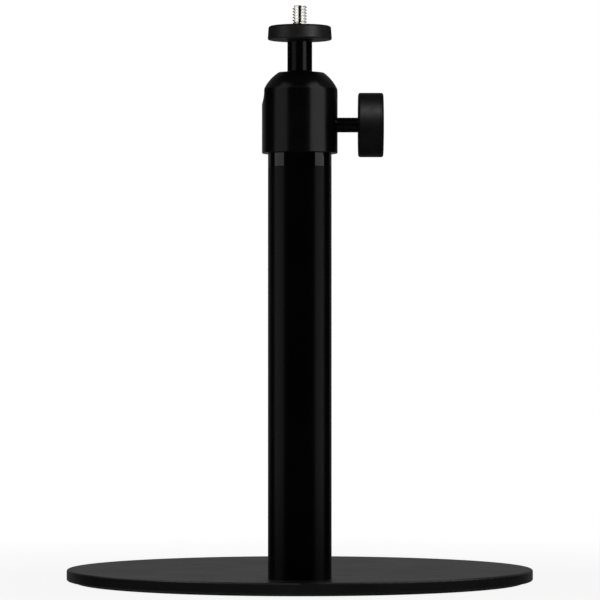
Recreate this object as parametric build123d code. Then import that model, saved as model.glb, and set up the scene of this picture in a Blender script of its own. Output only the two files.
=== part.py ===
from build123d import *
from math import cos, radians, sin, sqrt
import os

# A desktop microphone stand: a round steel base, a pole that stands off its centre, and a locking
# ball head that carries a small platform with a 1/4 inch stud.
# Millimetres. The origin is on the floor under the centre of the base, +Z is up, the pole stands
# towards -Y, the lock knob points to +X and the neck of the ball can drop into a slot facing -X.

# Base
BASE_R = 105.0
PLATE_T = 5.0
PLATE_ROUND = 0.8
PAD_T = 1.0
PAD_INSET = 4.0
PAD_ROUND = 0.3
POLE_Y = -74.0

# Countersunk bolt and dowel that hold the pole on the plate
BOLT_R = 3.95
BOLT_HEAD_R = 8.0
BOLT_RECESS = 0.2
BOLT_LENGTH = 22.0
BOLT_CHAMFER = 0.5
BOLT_SOCKET = 5.0
BOLT_SOCKET_DEPTH = 2.6
COUNTERSINK_R = 8.3
PLATE_HOLE_R = 4.2
BOLT_ACCESS_R = 9.5
DOWEL_R = 1.5
DOWEL_OFFSET = 9.0
DOWEL_IN_PLATE = 3.0
DOWEL_IN_PLUG = 4.0

# Pole
POLE_R = 13.75
POLE_WALL = 1.5
POLE_H = 177.45
COLLAR_H = 5.95
POLE_BREAK = 0.1
BOTTOM_PLUG_H = 20.0
TOP_PLUG_H = 16.0

# Stud that joins pole and head, a 3/8 inch thread
HEAD_STUD_R = 4.7
HEAD_STUD_BELOW = 10.0
HEAD_STUD_ABOVE = 5.5
STUD_SOCKET = 4.0
STUD_SOCKET_DEPTH = 3.0

# Ball housing, with heights above its bottom face
HOUSING_R = 16.35
HOUSING_H = 34.85
HOUSING_CHAMFER = 0.25
DOME_R = 17.87
DOME_H = 20.35
DOME_BLEND = 3.0
TOP_ROUND = 0.6
BALL_H = 26.6
BALL_R = 10.5
BALL_GAP = 0.1
NECK_R = 5.36
NECK_GAP = 0.24
LEAN_ROOM = radians(15.0)
MOUTH_ROUND = 0.3
HEAD_BASE_R = 11.5
HEAD_BASE_H = 6.6
SET_SCREW_R = 1.47
SET_SCREW_LENGTH = 5.2
SET_SCREW_H = 3.3
SET_SCREW_TIP = 10.7
SET_SCREW_SOCKET = 1.5

# Ball, neck and platform, with heights above the ball's centre
NECK_H = 22.4
NECK_FLARE_R = 5.9
NECK_FLARE_H = 0.8
SPIGOT_R = 4.0
SPIGOT_H = 2.8
PLATFORM_H = 22.5
PLATFORM_LOW_R = 13.9
PLATFORM_TOP_R = 13.5
PLATFORM_T = 5.95
PLATFORM_TOP_ROUND = 1.0
PLATFORM_LOW_ROUND = 0.6
PLATFORM_PAD_R = 11.8
PLATFORM_PAD_T = 0.8
BOSS_R = 3.5
BOSS_H = 0.6
STUD_R = 3.12
STUD_ROOT_R = 2.9
STUD_ROOT_H = 3.4
STUD_H = 8.25
STUD_CHAMFER = 0.45

# Clamp under the ball: friction pad, pressure cup and tapered pin
PAD_OUTER_R = 11.5
PAD_EDGE_ANGLE = radians(42.0)
CUP_GAP = 0.15
CUP_R = 10.52
CUP_LOW = 7.2
CUP_TOP = 19.6
CUP_DROP = 0.3
KNOB_TRAVEL = 1.5
PIN_H = 12.3
PIN_TIP_X = 4.0
PIN_END_X = 11.2
PIN_TIP_R = 1.1
PIN_GAP = 0.06
PIN_CHAMFER = 0.3

# Lock screw and knob, with places along X from the pole axis
SCREW_R = 3.2
SCREW_START_X = 11.25
SCREW_HEX = 10.0
SCREW_HEX_START_X = 29.0
SCREW_HEX_END_X = 32.6
KNOB_R = 13.9
KNOB_START_X = 25.2
KNOB_SEAM_X = 34.7
KNOB_END_X = 36.3
KNOB_DOME = 0.25
KNOB_ROUND = 1.0
KNOB_SEAM = 0.12
CAP_SPIGOT_R = 10.9
CAP_SPIGOT_L = 1.6

# Radial gaps of fits, and the small chamfer on turned edges
FIT = 0.05
SLIDING_FIT = 0.03
EDGE_BREAK = 0.25

# Heights above the floor
PLATE_TOP = PAD_T + PLATE_T
POLE_TOP = PLATE_TOP + POLE_H
HEAD_Z = POLE_TOP + COLLAR_H
HEAD_TOP = HEAD_Z + HOUSING_H
DOME_Z = HEAD_Z + DOME_H
BALL_Z = HEAD_Z + BALL_H
PIN_Z = HEAD_Z + PIN_H
NECK_TOP = BALL_Z + NECK_H
PLATFORM_Z = BALL_Z + PLATFORM_H
PLATFORM_TOP = PLATFORM_Z + PLATFORM_T
BOSS_TOP = PLATFORM_TOP + BOSS_H

POLE_BORE_R = POLE_R - POLE_WALL
SLOT_R = NECK_R + NECK_GAP
SEAT_R = BALL_R + BALL_GAP
PIN_SLOPE = CUP_DROP / KNOB_TRAVEL
UPRIGHT = (Align.CENTER, Align.CENTER, Align.MIN)


def post(radius, low, high):
    """A cylinder on the pole axis between two heights above the floor."""
    return Pos(0, POLE_Y, low) * Cylinder(radius, high - low, align=UPRIGHT)


def taper(low_radius, high_radius, low, high):
    """A cone on the pole axis between two heights above the floor."""
    return Pos(0, POLE_Y, low) * Cone(low_radius, high_radius, high - low, align=UPRIGHT)


def rod(radius, start, end):
    """A cylinder on the lock axis between two places along X."""
    return Pos(start, POLE_Y, PIN_Z) * Rot(0, 90, 0) * Cylinder(radius, end - start, align=UPRIGHT)


def rod_taper(start_radius, end_radius, start, end):
    """A cone on the lock axis between two places along X."""
    cone = Cone(start_radius, end_radius, end - start, align=UPRIGHT)
    return Pos(start, POLE_Y, PIN_Z) * Rot(0, 90, 0) * cone


def hexagon(across_flats, length):
    """A six-sided bar standing on the origin."""
    return extrude(RegularPolygon(across_flats / 2, 6, major_radius=False), length)


def ball_at_seat(radius):
    """A sphere about the ball's centre."""
    return Pos(0, POLE_Y, BALL_Z) * Sphere(radius)


def set_screw_hole(radius, start, end):
    """A cylinder on the set screw's axis, which runs out from the pole axis along +Y."""
    place = Pos(0, POLE_Y + start, HEAD_Z + SET_SCREW_H) * Rot(-90, 0, 0)
    return place * Cylinder(radius, end - start, align=UPRIGHT)


def rims(shape, axis, place):
    """The circular edges that lie in the plane at a place along an axis."""
    circles = shape.edges().filter_by(GeomType.CIRCLE)
    return circles.filter_by_position(axis, place - FIT, place + FIT)


def widest(edges):
    """The circular edge with the largest radius."""
    return edges.sort_by(SortBy.RADIUS)[-1]


def base_pad():
    """Rubber sheet glued under the plate, with an opening below the foot bolt."""
    sheet = Cylinder(BASE_R - PAD_INSET, PAD_T, align=UPRIGHT)
    sheet = fillet(widest(rims(sheet, Axis.Z, 0)), PAD_ROUND)
    return sheet - post(BOLT_ACCESS_R, 0, PAD_T)


def base_plate():
    """Steel disc, countersunk from below for the foot bolt and drilled from above for the dowel."""
    disc = Pos(0, 0, PAD_T) * Cylinder(BASE_R, PLATE_T, align=UPRIGHT)
    disc = fillet(disc.edges().filter_by(GeomType.CIRCLE), PLATE_ROUND)
    sink_h = COUNTERSINK_R - PLATE_HOLE_R
    disc -= taper(COUNTERSINK_R, PLATE_HOLE_R, PAD_T, PAD_T + sink_h)
    disc -= post(PLATE_HOLE_R, PAD_T, PLATE_TOP)
    dowel_hole = Cylinder(DOWEL_R + SLIDING_FIT, DOWEL_IN_PLATE, align=UPRIGHT)
    disc -= Pos(0, POLE_Y + DOWEL_OFFSET, PLATE_TOP - DOWEL_IN_PLATE) * dowel_hole
    return disc


def foot_bolt():
    """Countersunk socket bolt that pulls the pole down on to the plate."""
    head_z = PAD_T + BOLT_RECESS
    cone_top = head_z + BOLT_HEAD_R - BOLT_R
    head = taper(BOLT_HEAD_R, BOLT_R, head_z, cone_top)
    shank = post(BOLT_R, cone_top, head_z + BOLT_LENGTH)
    bolt = head + shank
    bolt = chamfer(rims(bolt, Axis.Z, head_z + BOLT_LENGTH), BOLT_CHAMFER)
    return bolt - Pos(0, POLE_Y, head_z) * hexagon(BOLT_SOCKET, BOLT_SOCKET_DEPTH)


def locating_pin():
    """Dowel that stops the pole from turning on the plate."""
    low = PLATE_TOP - DOWEL_IN_PLATE + BOLT_RECESS
    high = PLATE_TOP + DOWEL_IN_PLUG - BOLT_RECESS
    dowel = Pos(0, POLE_Y + DOWEL_OFFSET, low) * Cylinder(DOWEL_R, high - low, align=UPRIGHT)
    return chamfer(dowel.edges().filter_by(GeomType.CIRCLE), EDGE_BREAK)


def bottom_plug():
    """Steel plug pressed into the foot of the pole, tapped for the foot bolt."""
    plug_top = PLATE_TOP + BOTTOM_PLUG_H
    plug = post(POLE_BORE_R - SLIDING_FIT, PLATE_TOP, plug_top)
    plug = chamfer(rims(plug, Axis.Z, plug_top), EDGE_BREAK)
    plug -= post(BOLT_R + FIT, PLATE_TOP, plug_top)
    dowel_hole = Cylinder(DOWEL_R + SLIDING_FIT, DOWEL_IN_PLUG, align=UPRIGHT)
    return plug - Pos(0, POLE_Y + DOWEL_OFFSET, PLATE_TOP) * dowel_hole


def pole_tube():
    """Steel tube, open at both ends, with its outer edges broken."""
    tube = post(POLE_R, PLATE_TOP, POLE_TOP)
    tube = chamfer(tube.edges().filter_by(GeomType.CIRCLE), POLE_BREAK)
    return tube - post(POLE_BORE_R, PLATE_TOP, POLE_TOP)


def top_plug():
    """Plug pressed into the top of the pole; its flange shows as a polished collar."""
    flange = post(POLE_R, POLE_TOP, HEAD_Z)
    flange = chamfer(flange.edges().filter_by(GeomType.CIRCLE), POLE_BREAK)
    plug = flange + post(POLE_BORE_R - SLIDING_FIT, POLE_TOP - TOP_PLUG_H, POLE_TOP)
    return plug - post(HEAD_STUD_R + FIT, POLE_TOP - TOP_PLUG_H, HEAD_Z)


def head_stud():
    """Threaded stud that joins the head to the pole."""
    low = HEAD_Z - HEAD_STUD_BELOW
    high = HEAD_Z + HEAD_STUD_ABOVE
    stud = chamfer(post(HEAD_STUD_R, low, high).edges().filter_by(GeomType.CIRCLE), STUD_CHAMFER)
    socket = hexagon(STUD_SOCKET, STUD_SOCKET_DEPTH)
    return stud - Pos(0, POLE_Y, high - STUD_SOCKET_DEPTH) * socket


def head_base():
    """Insert screwed into the bottom of the housing; it closes the clamp and takes the head stud."""
    base = post(HEAD_BASE_R - SLIDING_FIT, HEAD_Z, HEAD_Z + HEAD_BASE_H)
    base = chamfer(base.edges().filter_by(GeomType.CIRCLE), EDGE_BREAK)
    base -= post(HEAD_STUD_R + FIT, HEAD_Z, HEAD_Z + HEAD_BASE_H)
    return base - set_screw_hole(SET_SCREW_R + FIT, SET_SCREW_TIP - FIT, HOUSING_R)


def base_set_screw():
    """Grub screw in the back of the housing that keeps the head base from turning."""
    screw = set_screw_hole(SET_SCREW_R, SET_SCREW_TIP, SET_SCREW_TIP + SET_SCREW_LENGTH)
    end_y = POLE_Y + SET_SCREW_TIP + SET_SCREW_LENGTH
    screw = chamfer(rims(screw, Axis.Y, POLE_Y + SET_SCREW_TIP), EDGE_BREAK)
    socket = Rot(90, 0, 0) * hexagon(SET_SCREW_SOCKET, SET_SCREW_LENGTH / 2)
    return screw - Pos(0, end_y, HEAD_Z + SET_SCREW_H) * socket


def opening_radius(height):
    """Half the width of the mouth at a height above the ball's centre, for the neck at full lean."""
    return (SLOT_R + height * sin(LEAN_ROOM)) / cos(LEAN_ROOM)


def housing_shell():
    """Outer shape of the housing: a cylinder that ends in a slice of a sphere, with soft edges."""
    limit = post(DOME_R, HEAD_Z, DOME_Z) + Pos(0, POLE_Y, DOME_Z) * Sphere(DOME_R)
    shell = post(HOUSING_R, HEAD_Z, HEAD_TOP) & limit
    blend_z = DOME_Z + sqrt(DOME_R**2 - HOUSING_R**2)
    shell = fillet(rims(shell, Axis.Z, blend_z), DOME_BLEND)
    shell = fillet(rims(shell, Axis.Z, HEAD_TOP), TOP_ROUND)
    return chamfer(rims(shell, Axis.Z, HEAD_Z), HOUSING_CHAMFER)


def ball_housing():
    """Housing with the ball's seat, a round mouth, a slot for the neck and the lock screw's hole."""
    housing = housing_shell()
    housing -= post(SEAT_R, HEAD_Z, BALL_Z)
    housing -= ball_at_seat(SEAT_R)
    mouth_h = HOUSING_H - BALL_H
    housing -= taper(opening_radius(0), opening_radius(mouth_h), BALL_Z, HEAD_TOP)
    mouth = rims(housing, Axis.Z, HEAD_TOP).sort_by(SortBy.RADIUS)[0]
    housing = fillet(mouth, MOUTH_ROUND)
    housing -= post(HEAD_BASE_R, HEAD_Z, HEAD_Z + HEAD_BASE_H + FIT)
    reach = HOUSING_R + BALL_GAP
    slot_foot = Rot(0, -90, 0) * Cylinder(SLOT_R, reach, align=UPRIGHT)
    slot_wall = Box(reach, 2 * SLOT_R, mouth_h, align=(Align.MAX, Align.CENTER, Align.MIN))
    housing -= Pos(0, POLE_Y, BALL_Z) * (slot_foot + slot_wall)
    housing -= rod(SCREW_R + FIT, PIN_TIP_X, HOUSING_R + BALL_GAP)
    housing -= set_screw_hole(SET_SCREW_R + FIT, SET_SCREW_TIP, HOUSING_R + BALL_GAP)
    return housing


def pressure_cup():
    """Brass cup that the tapered pin lifts against the friction pad under the ball."""
    cup = post(CUP_R, HEAD_Z + CUP_LOW, HEAD_Z + CUP_TOP)
    cup = chamfer(cup.edges().filter_by(GeomType.CIRCLE), EDGE_BREAK)
    cup -= ball_at_seat(PAD_OUTER_R + CUP_GAP)
    tip_x = PIN_TIP_X - PIN_CHAMFER
    tip_r = PIN_TIP_R + PIN_GAP - PIN_CHAMFER * PIN_SLOPE
    mouth_r = tip_r + (PIN_END_X - tip_x) * PIN_SLOPE
    return cup - rod_taper(tip_r, mouth_r, tip_x, PIN_END_X)


def ball_pad():
    """Nylon friction pad, a bowl between the ball and the pressure cup."""
    bowl = ball_at_seat(PAD_OUTER_R) - ball_at_seat(SEAT_R)
    edge_z = BALL_Z - PAD_OUTER_R * cos(PAD_EDGE_ANGLE)
    return bowl & post(PAD_OUTER_R, BALL_Z - PAD_OUTER_R, edge_z)


def ball_stem():
    """Ball and neck turned in one piece, with the spigot that the platform turns on."""
    neck = post(NECK_R, BALL_Z, NECK_TOP - NECK_FLARE_H)
    flare = taper(NECK_R, NECK_FLARE_R, NECK_TOP - NECK_FLARE_H, NECK_TOP)
    spigot = post(SPIGOT_R, NECK_TOP, NECK_TOP + SPIGOT_H)
    return ball_at_seat(BALL_R) + neck + flare + spigot


def platform():
    """Round platform, a little narrower at the top, with a recess for its pad and a boss."""
    disc = taper(PLATFORM_LOW_R, PLATFORM_TOP_R, PLATFORM_Z, PLATFORM_TOP)
    disc = fillet(rims(disc, Axis.Z, PLATFORM_TOP), PLATFORM_TOP_ROUND)
    disc = fillet(rims(disc, Axis.Z, PLATFORM_Z), PLATFORM_LOW_ROUND)
    disc -= post(PLATFORM_PAD_R + FIT, PLATFORM_TOP - PLATFORM_PAD_T, PLATFORM_TOP)
    disc += post(BOSS_R, PLATFORM_Z, BOSS_TOP)
    disc -= post(SPIGOT_R + FIT, PLATFORM_Z, NECK_TOP + SPIGOT_H + FIT)
    return disc - post(STUD_ROOT_R + SLIDING_FIT, PLATFORM_Z, BOSS_TOP)


def platform_pad():
    """Thin rubber ring that the screwed-on part beds against."""
    ring = post(PLATFORM_PAD_R, PLATFORM_TOP - PLATFORM_PAD_T, PLATFORM_TOP)
    return ring - post(BOSS_R + FIT, PLATFORM_TOP - PLATFORM_PAD_T, PLATFORM_TOP)


def mount_stud():
    """The 1/4 inch stud: a plain root in the platform and the threaded length above it."""
    thread = post(STUD_R, BOSS_TOP, BOSS_TOP + STUD_H)
    thread = chamfer(rims(thread, Axis.Z, BOSS_TOP + STUD_H), STUD_CHAMFER)
    return thread + post(STUD_ROOT_R, BOSS_TOP - STUD_ROOT_H, BOSS_TOP)


def lock_pin():
    """Tapered brass pin that the lock screw pushes into the side of the pressure cup."""
    end_r = PIN_TIP_R + (PIN_END_X - PIN_TIP_X) * PIN_SLOPE
    pin = rod_taper(PIN_TIP_R, end_r, PIN_TIP_X, PIN_END_X)
    return chamfer(rims(pin, Axis.X, PIN_TIP_X), PIN_CHAMFER)


def lock_screw():
    """Lock screw with a six-sided head that sits inside the knob."""
    screw = rod(SCREW_R, SCREW_START_X, SCREW_HEX_START_X)
    screw = chamfer(rims(screw, Axis.X, SCREW_START_X), EDGE_BREAK)
    head = hexagon(SCREW_HEX, SCREW_HEX_END_X - SCREW_HEX_START_X)
    return screw + Pos(SCREW_HEX_START_X, POLE_Y, PIN_Z) * Rot(0, 90, 0) * head


def lock_knob():
    """Knob body with a pocket for the screw's head."""
    knob = rod(KNOB_R, KNOB_START_X, KNOB_SEAM_X)
    knob = fillet(rims(knob, Axis.X, KNOB_START_X), KNOB_ROUND)
    knob = chamfer(rims(knob, Axis.X, KNOB_SEAM_X), KNOB_SEAM)
    knob -= rod(SCREW_R + SLIDING_FIT, KNOB_START_X, SCREW_HEX_START_X)
    pocket = hexagon(SCREW_HEX + 2 * FIT, KNOB_SEAM_X - SCREW_HEX_START_X)
    knob -= Pos(SCREW_HEX_START_X, POLE_Y, PIN_Z) * Rot(0, 90, 0) * pocket
    return knob - rod(CAP_SPIGOT_R + SLIDING_FIT, KNOB_SEAM_X - CAP_SPIGOT_L, KNOB_SEAM_X)


def knob_cap():
    """Slightly domed cap that snaps into the outer end of the knob."""
    rim_x = KNOB_END_X - KNOB_DOME
    cap = rod(KNOB_R, KNOB_SEAM_X, KNOB_END_X)
    dome_r = (KNOB_R**2 + KNOB_DOME**2) / (2 * KNOB_DOME)
    cap &= Pos(KNOB_END_X - dome_r, POLE_Y, PIN_Z) * Sphere(dome_r)
    cap = fillet(rims(cap, Axis.X, rim_x), KNOB_ROUND)
    cap = chamfer(rims(cap, Axis.X, KNOB_SEAM_X), KNOB_SEAM)
    return cap + rod(CAP_SPIGOT_R, KNOB_SEAM_X - CAP_SPIGOT_L + FIT, KNOB_SEAM_X)


SUB_PARTS = [
    base_pad,
    base_plate,
    foot_bolt,
    locating_pin,
    bottom_plug,
    pole_tube,
    top_plug,
    head_stud,
    head_base,
    base_set_screw,
    ball_housing,
    pressure_cup,
    ball_pad,
    ball_stem,
    platform,
    platform_pad,
    mount_stud,
    lock_pin,
    lock_screw,
    lock_knob,
    knob_cap,
]

os.makedirs("parts", exist_ok=True)
for make in SUB_PARTS:
    export_step(make(), f"parts/{make.__name__}.step")
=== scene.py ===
import math

import bmesh
import bpy
from mathutils import Matrix, Vector


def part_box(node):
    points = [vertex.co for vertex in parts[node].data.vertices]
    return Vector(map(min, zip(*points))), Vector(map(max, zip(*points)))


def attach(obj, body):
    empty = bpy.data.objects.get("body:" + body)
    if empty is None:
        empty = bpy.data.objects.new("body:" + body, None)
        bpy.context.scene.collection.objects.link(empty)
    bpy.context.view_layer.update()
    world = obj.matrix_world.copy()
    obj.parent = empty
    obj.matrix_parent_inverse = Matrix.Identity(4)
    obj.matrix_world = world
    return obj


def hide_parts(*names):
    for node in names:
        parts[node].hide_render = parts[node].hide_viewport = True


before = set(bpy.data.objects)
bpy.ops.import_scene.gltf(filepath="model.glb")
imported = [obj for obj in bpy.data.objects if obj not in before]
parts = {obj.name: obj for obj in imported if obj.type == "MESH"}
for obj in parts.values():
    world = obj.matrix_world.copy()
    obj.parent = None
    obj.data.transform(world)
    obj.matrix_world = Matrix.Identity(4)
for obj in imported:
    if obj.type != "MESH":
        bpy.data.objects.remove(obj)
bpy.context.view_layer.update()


# The rubber pad under the base: one millimetre of matt black sheet, cut round and glued on, with a hole
# below the foot bolt. Its skin has the fine pebble of calendered rubber and a little pale bloom.

def add(tree, kind, **inputs):
    """A new node in a material, with plain values or links set on its named inputs."""
    node = tree.nodes.new(kind)
    for name, value in inputs.items():
        socket = node.inputs[name.replace("_", " ")]
        if isinstance(value, bpy.types.NodeSocket):
            tree.links.new(value, socket)
        else:
            socket.default_value = value
    return node


def new_finish(name, **values):
    """A material with its constant values set on the shader's own sockets."""
    material = bpy.data.materials.new(name)
    material.use_nodes = True
    shader = material.node_tree.nodes["Principled BSDF"]
    for socket, value in values.items():
        shader.inputs[socket.replace("_", " ")].default_value = value
    return material


def patches(tree, width, detail=2.0):
    """Soft noise in the piece's own space, in spots about this wide."""
    place = add(tree, "ShaderNodeTexCoord")
    noise = add(tree, "ShaderNodeTexNoise", Vector=place.outputs["Object"], Scale=1 / width, Detail=detail)
    return noise.outputs["Fac"]


DARKEST_AT = 0.35
LIGHTEST_AT = 0.65


def tone(material, dark, light, width, detail=3.0):
    """The colour drifts between two shades in spots of this width."""
    tree = material.node_tree
    ramp = add(tree, "ShaderNodeValToRGB", Fac=patches(tree, width, detail))
    ramp.color_ramp.elements[0].position = DARKEST_AT
    ramp.color_ramp.elements[0].color = (*dark, 1)
    ramp.color_ramp.elements[1].position = LIGHTEST_AT
    ramp.color_ramp.elements[1].color = (*light, 1)
    tree.links.new(ramp.outputs["Color"], tree.nodes["Principled BSDF"].inputs["Base Color"])


GLOSSIEST_AT = 0.3
DULLEST_AT = 0.7


def gloss(material, low, high, width, detail=3.0):
    """The roughness drifts between two values in spots of this width."""
    tree = material.node_tree
    spots = patches(tree, width, detail)
    drift = add(tree, "ShaderNodeMapRange", Value=spots, From_Min=GLOSSIEST_AT, From_Max=DULLEST_AT)
    drift.inputs["To Min"].default_value = low
    drift.inputs["To Max"].default_value = high
    tree.links.new(drift.outputs["Result"], tree.nodes["Principled BSDF"].inputs["Roughness"])


def relief(material, height, depth):
    """A bump of this depth, laid over any bump that the finish already has."""
    tree = material.node_tree
    normal = tree.nodes["Principled BSDF"].inputs["Normal"]
    bump = add(tree, "ShaderNodeBump", Height=height, Distance=depth)
    if normal.is_linked:
        tree.links.new(normal.links[0].from_socket, bump.inputs["Normal"])
    tree.links.new(bump.outputs["Normal"], normal)


def grain(material, width, depth, detail=2.0):
    """A fine grain: spots of this width that stand up by this depth."""
    relief(material, patches(material.node_tree, width, detail), depth)


def wear(name, material):
    """The CAD piece of this name gets the material."""
    for slot in parts[name].material_slots:
        slot.material = material


sheet_rubber = new_finish("sheet_rubber", Specular_IOR_Level=0.35)
tone(sheet_rubber, (0.010, 0.010, 0.010), (0.018, 0.018, 0.017), 0.012)
gloss(sheet_rubber, 0.72, 0.86, 0.006)
grain(sheet_rubber, 0.0007, 0.00008)
wear("base_pad", sheet_rubber)


# The base plate: a five millimetre steel disc, laser cut, its edges rolled over and the whole disc
# powder coated in satin black. The coat has the tight pebble that powder leaves when it flows out.

powder_coat = new_finish("powder_coat", Specular_IOR_Level=0.5)
tone(powder_coat, (0.0045, 0.0045, 0.0048), (0.0070, 0.0070, 0.0072), 0.030)
gloss(powder_coat, 0.27, 0.33, 0.018)
grain(powder_coat, 0.0009, 0.00002)
wear("base_plate", powder_coat)


# The foot of the pole, seen only from below or in pieces: a countersunk M8 bolt with a hexagon socket pulls
# a tapped steel plug down on to the plate, and a ground dowel keeps the pole from turning. Bolt and plug
# are bright zinc, and the bolt's thread is rolled.

MM = 0.001
COLUMNS = 60
THREAD_STOPS = (-0.0625, 0.0625, 0.1806, 0.2986, 0.4167, 0.5833, 0.7014, 0.8194)
CREST_SHARE = 0.125
ROOT_SHARE = 0.1667
DEPTH_SHARE = 0.6134
SMOOTH_BELOW = math.radians(35)


def circle(radius, height):
    """A ring of points round Z."""
    angles = [2 * math.pi * column / COLUMNS for column in range(COLUMNS)]
    return [(radius * math.cos(a), radius * math.sin(a), height) for a in angles]


def hexagon(across_flats, height):
    """A six-sided ring of points round Z, with as many points as a circle has."""
    ring = []
    for x, y, z in circle(across_flats / 2, height):
        off_flat = (math.atan2(y, x) + math.pi / 6) % (math.pi / 3) - math.pi / 6
        ring.append((x / math.cos(off_flat), y / math.cos(off_flat), z))
    return ring


def skin(mesh, corners):
    """A face on those of its corners that differ."""
    corners = list(dict.fromkeys(corners))
    if len(corners) > 2:
        mesh.faces.new(corners)


def close_end(mesh, loop, rings):
    """Carries a ring of vertices on through more rings and closes the last one."""
    for ring in rings:
        turned_ring = [mesh.verts.new(point) for point in ring]
        for column in range(COLUMNS):
            after = (column + 1) % COLUMNS
            skin(mesh, (loop[column], loop[after], turned_ring[after], turned_ring[column]))
        loop = turned_ring
    mesh.faces.new(loop)


def below_crest(stop):
    """How deep a 60 degree thread is at a place from one crest to the next, as a share of its depth."""
    from_crest = abs((stop + 0.5) % 1 - 0.5)
    flank = 0.5 - CREST_SHARE / 2 - ROOT_SHARE / 2
    return min(max((from_crest - CREST_SHARE / 2) / flank, 0), 1)


def thread_column(mesh, turn, radius, pitch, start, end):
    """One column of a right-handed thread, with a 45 degree lead at both ends."""
    depth = DEPTH_SHARE * pitch
    core = radius - depth
    per_turn = len(THREAD_STOPS)
    points = []
    for step in range(-2 * per_turn, (math.ceil((end - start) / pitch) + 2) * per_turn):
        stop = THREAD_STOPS[step % per_turn] + step // per_turn
        z = min(max(start + (stop + turn) * pitch, start), end)
        if points and points[-1].co.z == z:
            points.append(points[-1])
            continue
        r = min(radius - depth * below_crest(stop), core + z - start, core + end - z)
        a = 2 * math.pi * turn
        points.append(mesh.verts.new((r * math.cos(a), r * math.sin(a), z)))
    return points


def threaded(name, radius, pitch, start, end, below=(), above=()):
    """A screw about Z: the thread between two heights, and the rings that go on from its two ends."""
    mesh = bmesh.new()
    columns = [thread_column(mesh, i / COLUMNS, radius, pitch, start, end) for i in range(COLUMNS)]
    for i, here in enumerate(columns):
        after = columns[(i + 1) % COLUMNS]
        lift = len(THREAD_STOPS) if i == COLUMNS - 1 else 0
        for step in range(len(here) - 1 - lift):
            up = step + lift
            skin(mesh, (here[step], after[up], after[up + 1], here[step + 1]))
    close_end(mesh, [column[0] for column in columns], below)
    close_end(mesh, [column[-1] for column in columns], above)
    bmesh.ops.recalc_face_normals(mesh, faces=mesh.faces)
    screw = bpy.data.meshes.new(name)
    mesh.to_mesh(screw)
    mesh.free()
    return screw


def piece(name, mesh, place, material, node, body):
    """Puts a made mesh in its place as the piece that stands for a CAD node."""
    mesh.transform(place)
    mesh.shade_smooth()
    mesh.set_sharp_from_angle(angle=SMOOTH_BELOW)
    mesh.materials.append(material)
    made = bpy.data.objects.new(name, mesh)
    bpy.context.scene.collection.objects.link(made)
    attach(made, body)
    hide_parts(node)
    return made


def middle(name):
    """The centre of a CAD node's box."""
    low, high = (Vector(corner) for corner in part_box(name))
    return (low + high) / 2


zinc_plate = new_finish("zinc_plate", Metallic=1.0)
tone(zinc_plate, (0.46, 0.49, 0.54), (0.62, 0.60, 0.55), 0.004)
gloss(zinc_plate, 0.24, 0.40, 0.0016)
grain(zinc_plate, 0.0004, 0.00001)
wear("bottom_plug", zinc_plate)

bolt_low, bolt_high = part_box("foot_bolt")
BOLT_HEAD_R = (bolt_high[0] - bolt_low[0]) / 2
BOLT_R = 3.95 * MM
BOLT_PITCH = 1.25 * MM
BOLT_LAND = 0.15 * MM
BOLT_SHANK = 2.2 * MM
BOLT_KEY = 5.0 * MM
BOLT_KEY_DEPTH = 2.6 * MM
cone_top = bolt_low[2] + BOLT_HEAD_R - BOLT_R
bolt_head = [
    circle(BOLT_R, cone_top + BOLT_SHANK - BOLT_LAND),
    circle(BOLT_R, cone_top),
    circle(BOLT_HEAD_R, bolt_low[2] + BOLT_LAND),
    circle(BOLT_HEAD_R - BOLT_LAND, bolt_low[2]),
    hexagon(BOLT_KEY, bolt_low[2]),
    hexagon(BOLT_KEY, bolt_low[2] + BOLT_KEY_DEPTH),
]
bolt_mesh = threaded("bolt", BOLT_R, BOLT_PITCH, cone_top + BOLT_SHANK, bolt_high[2], below=bolt_head)
pole_axis = Matrix.Translation((middle("foot_bolt").x, middle("foot_bolt").y, 0))
piece("bolt_m8", bolt_mesh, pole_axis, zinc_plate, "foot_bolt", "stand")

ground_steel = new_finish("ground_steel", Metallic=1.0)
tone(ground_steel, (0.50, 0.50, 0.51), (0.60, 0.60, 0.60), 0.002)
gloss(ground_steel, 0.16, 0.28, 0.0008)
grain(ground_steel, 0.0002, 0.000004)
wear("locating_pin", ground_steel)


# The pole: welded steel tube, linished smooth and sprayed semi-gloss black. Its reflections run clean from
# top to foot, with only the slow ripple and faint orange peel of a good sprayed coat.

pole_paint = new_finish("pole_paint", Specular_IOR_Level=0.13)
tone(pole_paint, (0.0008, 0.0009, 0.0009), (0.0014, 0.0014, 0.0014), 0.040)
gloss(pole_paint, 0.23, 0.27, 0.020)
grain(pole_paint, 0.0030, 0.000004)
wear("pole_tube", pole_paint)


# The top plug: turned alloy, pressed into the tube. Only its flange shows, a short polished collar of
# the tube's own width, lacquered in full gloss so that it mirrors the room where the tube doesn't.

RINGS_AT_SCALE_ONE = 10 / math.pi
RING_WANDER = 0.6


def turned(material, axis, pitch, depth):
    """The fine rings a lathe leaves, this far apart along an axis."""
    tree = material.node_tree
    place = add(tree, "ShaderNodeTexCoord").outputs["Object"]
    ring_scale = 1 / (RINGS_AT_SCALE_ONE * pitch)
    rings = add(tree, "ShaderNodeTexWave", Vector=place, Scale=ring_scale, Distortion=RING_WANDER)
    rings.bands_direction = axis
    relief(material, rings.outputs["Fac"], depth)


collar_lacquer = new_finish("collar_lacquer", Specular_IOR_Level=0.5)
tone(collar_lacquer, (0.0010, 0.0010, 0.0010), (0.0018, 0.0018, 0.0017), 0.012)
gloss(collar_lacquer, 0.06, 0.10, 0.010)
turned(collar_lacquer, "Z", 0.00045, 0.0000006)
wear("top_plug", collar_lacquer)


# Inside the head: the 3/8 inch zinc plated stud that joins it to the pole, the turned alloy base that
# closes the clamp from below, and the blackened M3 grub screw in the back that keeps the base from
# working loose. Stud and grub screw have a hexagon socket in the end that a key can reach.

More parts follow.
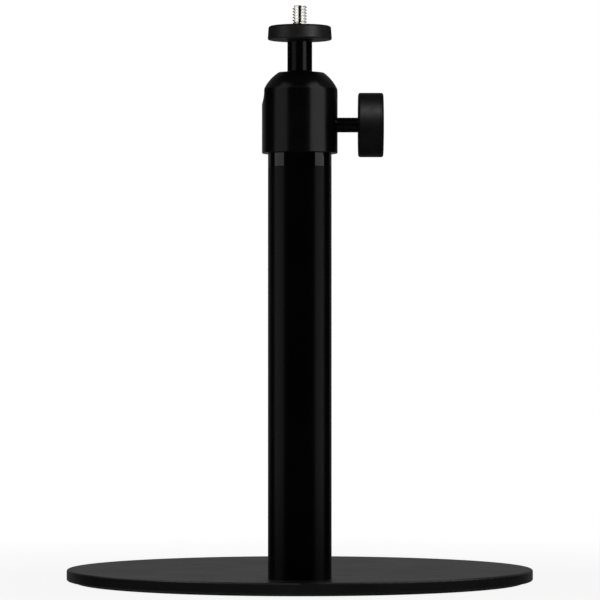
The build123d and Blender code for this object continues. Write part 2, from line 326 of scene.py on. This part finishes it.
INCH = 25.4 * MM
STUD_PITCH = INCH / 16
STUD_KEY = 4.0 * MM
STUD_KEY_DEPTH = 3.0 * MM
stud_low, stud_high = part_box("head_stud")
stud_socket = [hexagon(STUD_KEY, stud_high[2]), hexagon(STUD_KEY, stud_high[2] - STUD_KEY_DEPTH)]
stud_radius = (stud_high[0] - stud_low[0]) / 2
joining_mesh = threaded("joining_stud", stud_radius, STUD_PITCH, stud_low[2], stud_high[2], above=stud_socket)
piece("joining_stud", joining_mesh, pole_axis, zinc_plate, "head_stud", "stand")

bare_alloy = new_finish("bare_alloy", Metallic=1.0)
tone(bare_alloy, (0.62, 0.62, 0.63), (0.72, 0.72, 0.73), 0.003)
gloss(bare_alloy, 0.26, 0.38, 0.0012)
turned(bare_alloy, "Z", 0.00022, 0.000003)
wear("head_base", bare_alloy)

black_oxide = new_finish("black_oxide", Metallic=0.6)
tone(black_oxide, (0.012, 0.012, 0.013), (0.030, 0.029, 0.028), 0.0015)
gloss(black_oxide, 0.34, 0.50, 0.0008)
grain(black_oxide, 0.0002, 0.000005)

GRUB_PITCH = 0.5 * MM
GRUB_KEY = 1.5 * MM
grub_low, grub_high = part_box("base_set_screw")
grub_length = grub_high[1] - grub_low[1]
grub_radius = (grub_high[0] - grub_low[0]) / 2
grub_socket = [hexagon(GRUB_KEY, grub_length), hexagon(GRUB_KEY, grub_length / 2)]
grub_mesh = threaded("grub_screw", grub_radius, GRUB_PITCH, 0, grub_length, above=grub_socket)
grub_at = Vector((0, grub_low[1], middle("base_set_screw").z))
grub_place = Matrix.Translation(grub_at) @ Matrix.Rotation(-math.pi / 2, 4, "X")
piece("grub_screw", grub_mesh, grub_place, black_oxide, "base_set_screw", "stand")


# The housing: turned alloy with a domed top, the round mouth and the slot that the neck drops into.
# It is sprayed in a softer semi-gloss than the pole, which spreads each lamp into a wide smooth band.

housing_paint = new_finish("housing_paint", Specular_IOR_Level=0.5)
tone(housing_paint, (0.0014, 0.0015, 0.0015), (0.0024, 0.0024, 0.0023), 0.015)
gloss(housing_paint, 0.20, 0.24, 0.009)
grain(housing_paint, 0.0016, 0.000005)
wear("ball_housing", housing_paint)


# The clamp under the ball: a brass cup, a bowl of natural nylon that grips the ball, and the tapered
# brass pin that the lock screw drives into the cup's side to lift it. All three are turned parts.

turned_brass = new_finish("turned_brass", Metallic=1.0)
tone(turned_brass, (0.62, 0.42, 0.15), (0.74, 0.54, 0.24), 0.003)
gloss(turned_brass, 0.20, 0.34, 0.0012)
turned(turned_brass, "Z", 0.00018, 0.000003)
wear("pressure_cup", turned_brass)
wear("lock_pin", turned_brass)

nylon = new_finish("natural_nylon", Specular_IOR_Level=0.5, Subsurface_Weight=0.2, Subsurface_Scale=0.001)
tone(nylon, (0.70, 0.67, 0.57), (0.80, 0.77, 0.68), 0.003)
gloss(nylon, 0.38, 0.50, 0.0015)
turned(nylon, "Z", 0.00025, 0.000004)
wear("ball_pad", nylon)


# The ball and its neck, one steel turning in hard gloss black. The neck stands through the mouth
# and carries the platform on a spigot; the ball is seen only through the slot.

neck_lacquer = new_finish("neck_lacquer", Specular_IOR_Level=0.5)
tone(neck_lacquer, (0.0012, 0.0012, 0.0012), (0.0020, 0.0020, 0.0019), 0.006)
gloss(neck_lacquer, 0.19, 0.23, 0.004)
turned(neck_lacquer, "Z", 0.00035, 0.000001)
wear("ball_stem", neck_lacquer)


# The platform and its ring of rubber. The platform is a turned disc with a soft satin coat, a shade
# narrower at the top; the ring is let into its top face so that a screwed-on clip beds on rubber.

satin_coat = new_finish("satin_coat", Specular_IOR_Level=0.5)
tone(satin_coat, (0.0055, 0.0055, 0.0053), (0.0085, 0.0084, 0.0080), 0.008)
gloss(satin_coat, 0.44, 0.52, 0.004)
grain(satin_coat, 0.00025, 0.000006)
wear("platform", satin_coat)
wear("platform_pad", sheet_rubber)


# The stud on top: 1/4 inch thread at 20 turns an inch, rolled in steel and nickel plated bright. Its plain
# root is pressed into the platform.

nickel = new_finish("bright_nickel", Metallic=1.0)
tone(nickel, (0.66, 0.65, 0.62), (0.76, 0.75, 0.73), 0.002)
gloss(nickel, 0.10, 0.18, 0.001)

MOUNT_PITCH = INCH / 20
ROOT_R = 2.9 * MM
mount_low, mount_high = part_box("mount_stud")
boss_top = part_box("platform")[1][2]
mount_radius = (mount_high[0] - mount_low[0]) / 2
mount_root = [circle(ROOT_R, boss_top), circle(ROOT_R, mount_low[2])]
mount_mesh = threaded("mount", mount_radius, MOUNT_PITCH, boss_top, mount_high[2], below=mount_root)
piece("quarter_inch_stud", mount_mesh, pole_axis, nickel, "mount_stud", "head")


# The lock screw and its knob. The shank is black steel with a fine thread inside the housing's wall and a
# six-sided head inside the knob; knob and cap are moulded in satin black with a fine sparked grain, and
# the cap snaps into the outer end with a hairline seam round it.

LOCK_PITCH = 1.0 * MM
LOCK_THREAD = 3.3 * MM
LOCK_R = 3.2 * MM
LOCK_HEAD = 10.0 * MM
LOCK_HEAD_LENGTH = 3.6 * MM
lock_low, lock_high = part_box("lock_screw")
lock_length = lock_high[0] - lock_low[0]
lock_rest = [
    circle(LOCK_R, LOCK_THREAD),
    circle(LOCK_R, lock_length - LOCK_HEAD_LENGTH),
    hexagon(LOCK_HEAD, lock_length - LOCK_HEAD_LENGTH),
    hexagon(LOCK_HEAD, lock_length),
]
lock_mesh = threaded("lock_screw", LOCK_R, LOCK_PITCH, 0, LOCK_THREAD, above=lock_rest)
lock_at = Vector((lock_low[0], middle("lock_screw").y, middle("lock_screw").z))
lock_place = Matrix.Translation(lock_at) @ Matrix.Rotation(math.pi / 2, 4, "Y")
piece("clamp_screw", lock_mesh, lock_place, neck_lacquer, "lock_screw", "knob")

moulded_satin = new_finish("moulded_satin", Specular_IOR_Level=0.5)
tone(moulded_satin, (0.0018, 0.0018, 0.0017), (0.0030, 0.0030, 0.0028), 0.009)
gloss(moulded_satin, 0.46, 0.54, 0.004)
grain(moulded_satin, 0.00030, 0.000008)
wear("lock_knob", moulded_satin)
wear("knob_cap", moulded_satin)


# The floor the stand is shown on: a plain pale surface that glows, bright enough to meet the white behind it.
# Its glow is turned down close to the stand, a soft painted shade round the plate. It is open from below, so
# that the stand's underside can be looked at, and it keeps out of reflections.

bpy.ops.mesh.primitive_plane_add(size=60, location=(0, 0, 0))
floor = bpy.context.object
floor.name = "floor"
floor.visible_glossy = False

# The floor's glow is dimmest near the stand and full far off: a painted shade, not a cast shadow.
PAINTED_SHADE_GLOW = 0.90
FLOOR_FAR = 1.0
PAINTED_SHADE_FULL_WITHIN = 0.12
PAINTED_SHADE_GONE_BEYOND = 0.5
pale_floor = new_finish(
    "pale_floor",
    Base_Color=(0.5, 0.5, 0.5, 1),
    Roughness=0.9,
    Specular_IOR_Level=0.0,
    Emission_Color=(1, 1, 1, 1),
)
floor_shader = pale_floor.node_tree.nodes["Principled BSDF"]
floor_tree = pale_floor.node_tree
floor_place = add(floor_tree, "ShaderNodeNewGeometry").outputs["Position"]
away = add(floor_tree, "ShaderNodeVectorMath", Vector=floor_place)
away.operation = "LENGTH"
# Painted shade: the glow falls off with distance towards the pole's axis.
shaded_floor_glow = add(floor_tree, "ShaderNodeMapRange", Value=away.outputs["Value"])
shaded_floor_glow.inputs["From Min"].default_value = PAINTED_SHADE_FULL_WITHIN
shaded_floor_glow.inputs["From Max"].default_value = PAINTED_SHADE_GONE_BEYOND
shaded_floor_glow.inputs["To Min"].default_value = PAINTED_SHADE_GLOW
shaded_floor_glow.inputs["To Max"].default_value = FLOOR_FAR
floor_tree.links.new(shaded_floor_glow.outputs["Result"], floor_shader.inputs["Emission Strength"])
seen_from_below = add(floor_tree, "ShaderNodeNewGeometry").outputs["Backfacing"]
clear = add(floor_tree, "ShaderNodeBsdfTransparent")
two_sided = add(floor_tree, "ShaderNodeMixShader", Fac=seen_from_below)
floor_tree.links.new(floor_shader.outputs["BSDF"], two_sided.inputs[1])
floor_tree.links.new(clear.outputs["BSDF"], two_sided.inputs[2])
floor_tree.links.new(two_sided.outputs["Shader"], floor_tree.nodes["Material Output"].inputs["Surface"])
floor.data.materials.append(pale_floor)


# The studio: white behind everything, in a dim room that glows a little behind the stand, above and below.
# The lamps are tall flat panels round the pole, and each set lights its own pieces, as when the parts of a
# product are lit one by one: strips for the pole, soft sides for the head, a ring of panels for the plate.

world = bpy.data.worlds.new("studio")
bpy.context.scene.world = world
world.use_nodes = True
room = world.node_tree
room.nodes.clear()
direction = add(room, "ShaderNodeSeparateXYZ", Vector=add(room, "ShaderNodeTexCoord").outputs["Generated"])


def combine(operation, first, second):
    """One step of arithmetic on the room's light."""
    step = add(room, "ShaderNodeMath")
    step.operation = operation
    for socket, value in zip(step.inputs, (first, second)):
        if isinstance(value, bpy.types.NodeSocket):
            room.links.new(value, socket)
        else:
            socket.default_value = value
    return step.outputs["Value"]


BACK_FOCUS = 6.0
BACK_GLOW = 0.18
backward = combine("MAXIMUM", direction.outputs["Y"], 0.0)
back_glow = combine("MULTIPLY", combine("POWER", backward, BACK_FOCUS), BACK_GLOW)
height = add(room, "ShaderNodeMapRange", Value=direction.outputs["Z"], From_Min=-1.0, From_Max=1.0)
ceiling = add(room, "ShaderNodeValToRGB", Fac=height.outputs["Result"])
BELOW = 0.05
ABOVE = 0.08
ZENITH = 0.02
stops = ceiling.color_ramp.elements
stops[0].color = (BELOW, BELOW, BELOW, 1)
stops[1].color = (ZENITH, ZENITH, ZENITH, 1)
for up, brightness in ((-0.35, BELOW), (-0.2, 0), (0.3, 0), (0.45, ABOVE), (0.7, ABOVE), (0.85, ZENITH)):
    stop = stops.new((up + 1) / 2)
    stop.color = (brightness, brightness, brightness, 1)
dim = add(room, "ShaderNodeBackground", Strength=combine("ADD", back_glow, ceiling.outputs["Color"]))
white = add(room, "ShaderNodeBackground", Color=(1, 1, 1, 1), Strength=1.0)
straight = add(room, "ShaderNodeLightPath").outputs["Is Camera Ray"]
seen = add(room, "ShaderNodeMixShader", Fac=straight)
room.links.new(dim.outputs["Background"], seen.inputs[1])
room.links.new(white.outputs["Background"], seen.inputs[2])
out = add(room, "ShaderNodeOutputWorld")
room.links.new(seen.outputs["Shader"], out.inputs["Surface"])


def lit_set(name, names):
    """The pieces that one set of lamps lights."""
    lit = bpy.data.collections.new(name)
    for each in names:
        lit.objects.link(bpy.data.objects[each])
    return lit


def panel(name, lit, azimuth, spread, distance, low, high, brightness):
    """An upright lamp, spread degrees wide as the pole sees it; azimuth 0 is in front, 90 to the right."""
    a = math.radians(azimuth)
    side = Vector((math.sin(a), -math.cos(a), 0))
    lamp = bpy.data.lights.new(name, "AREA")
    lamp.shape = "RECTANGLE"
    lamp.size = 2 * distance * math.tan(math.radians(spread / 2))
    lamp.size_y = high - low
    lamp.energy = brightness * math.pi * lamp.size * lamp.size_y
    upright = bpy.data.objects.new(name, lamp)
    upright.location = pole_axis.translation + Vector((0, 0, (low + high) / 2)) + side * distance
    upright.rotation_euler = side.to_track_quat("Z", "Y").to_euler()
    upright.visible_camera = False
    upright.light_linking.receiver_collection = lit
    bpy.context.scene.collection.objects.link(upright)


tube_names = ["pole_tube", "top_plug"]
head_names = ["ball_housing"]
neck_names = ["ball_stem"]
disc_names = ["platform", "platform_pad"]
knob_names = ["lock_knob", "knob_cap"]
own_lamps = tube_names + head_names + neck_names + disc_names + knob_names
made_names = ["bolt_m8", "joining_stud", "grub_screw", "quarter_inch_stud", "clamp_screw"]
tube = lit_set("tube", tube_names)
head = lit_set("head", head_names)
neck = lit_set("neck", neck_names)
disc = lit_set("disc", disc_names)
knob = lit_set("knob", knob_names)
stud = lit_set("stud", ["quarter_inch_stud"])
rest = lit_set("rest", [name for name in parts if name not in own_lamps] + made_names)
edges = lit_set("edges", tube_names + head_names)
plate = lit_set("plate", ["base_plate"])

panel("strip_left", tube, -80.5, 43, 0.6, 0.0, 0.29, 0.72)
panel("strip_right", tube, 77, 40, 0.6, 0.0, 0.29, 0.90)
panel("rim_left", edges, -146, 34, 1.2, 0.0, 1.0, 0.07)
panel("rim_right", tube, 150, 24, 1.2, 0.0, 1.0, 0.05)
panel("head_left", head, -60, 44, 1.5, 0.0, 2.6, 0.31)
panel("head_right", head, 58, 50, 1.5, 0.0, 2.6, 0.72)
panel("neck_left", neck, -56, 40, 1.5, 0.0, 1.0, 0.20)
panel("neck_right", neck, 46, 28, 1.5, 0.0, 1.0, 0.72)
panel("disc_left", disc, -60, 24, 1.2, 0.0, 0.7, 1.5)
panel("disc_right", disc, 44, 24, 1.2, 0.0, 0.7, 4.4)
panel("knob_above", knob, 0, 40, 1.2, 1.2, 2.2, 6.0)
panel("key", rest, 59, 20, 1.2, 1.0, 1.6, 9.0)
panel("fill", rest, -72, 20, 1.2, 0.8, 1.4, 3.0)
panel("stud_left", stud, -78, 100, 0.6, 0.0, 1.2, 1.45)
panel("stud_right", stud, 78, 100, 0.6, 0.0, 1.2, 1.45)
for azimuth, low in ((-150, 0.9), (-90, 0.4), (-30, 0.4), (30, 0.4), (90, 0.4), (150, 0.9)):
    panel(f"plate_ring_{azimuth}", plate, azimuth, 60, 1.5, low, 2.6, 0.35)


# The camera stands low and far off in front, level with the foot of the pole, tilted up by under a degree.

LENS = 223.2
CAMERA_BACK = 1.680
CAMERA_HEIGHT = 0.1024
TILT_UP = math.radians(0.8455)

camera_data = bpy.data.cameras.new("camera")
camera_data.lens = LENS
camera_data.sensor_width = 36
camera = bpy.data.objects.new("camera", camera_data)
camera.location = (0.0001, -CAMERA_BACK, CAMERA_HEIGHT)
camera.rotation_euler = (math.pi / 2 + TILT_UP, 0, 0)
bpy.context.scene.collection.objects.link(camera)
bpy.context.scene.camera = camera
bpy.context.scene.view_settings.view_transform = "Standard"
